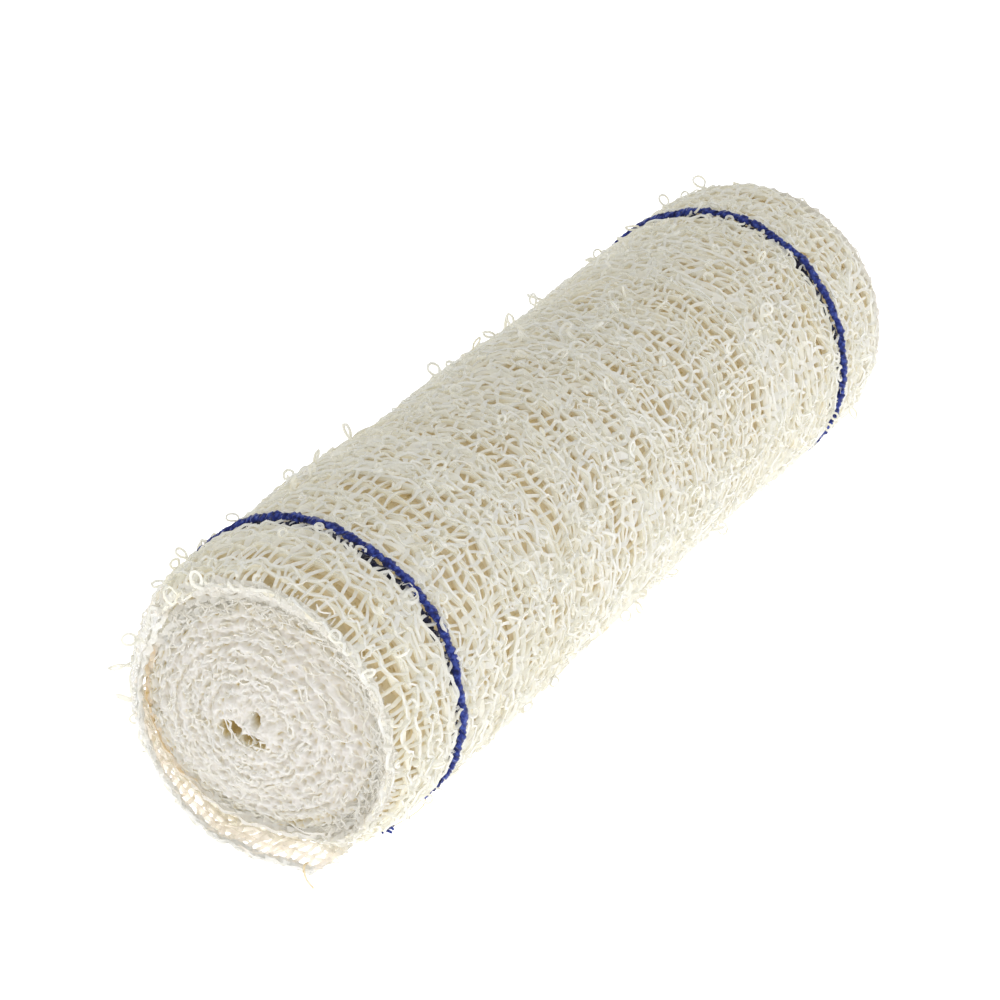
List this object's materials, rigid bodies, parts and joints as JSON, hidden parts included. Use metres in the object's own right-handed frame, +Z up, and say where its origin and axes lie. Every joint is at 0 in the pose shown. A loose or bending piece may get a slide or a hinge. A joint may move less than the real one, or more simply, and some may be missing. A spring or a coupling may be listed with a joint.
{
  "type": "crepe bandage roll",
  "caption": "Rolled crepe bandage of open cream cotton with a blue marker thread near each selvedge, lying on its side with its loose end tucked under.",
  "frame": {"origin": "on the floor under the middle of the bandage's bounding box", "axes": "+X along the roll's axis, from the near end to the far end, +Y towards the loose turn, +Z up"},
  "size_m": [0.1496, 0.0428, 0.042],
  "materials": {
    "wound_crepe": "open cotton crepe, matte, covered in small twisted loops",
    "loose_crepe": "open cotton crepe, matte, light shows through it"
  },
  "bodies": {
    "root": {"roll": "wound_crepe", "loose_end": "loose_crepe"}
  },
  "joints": []
}
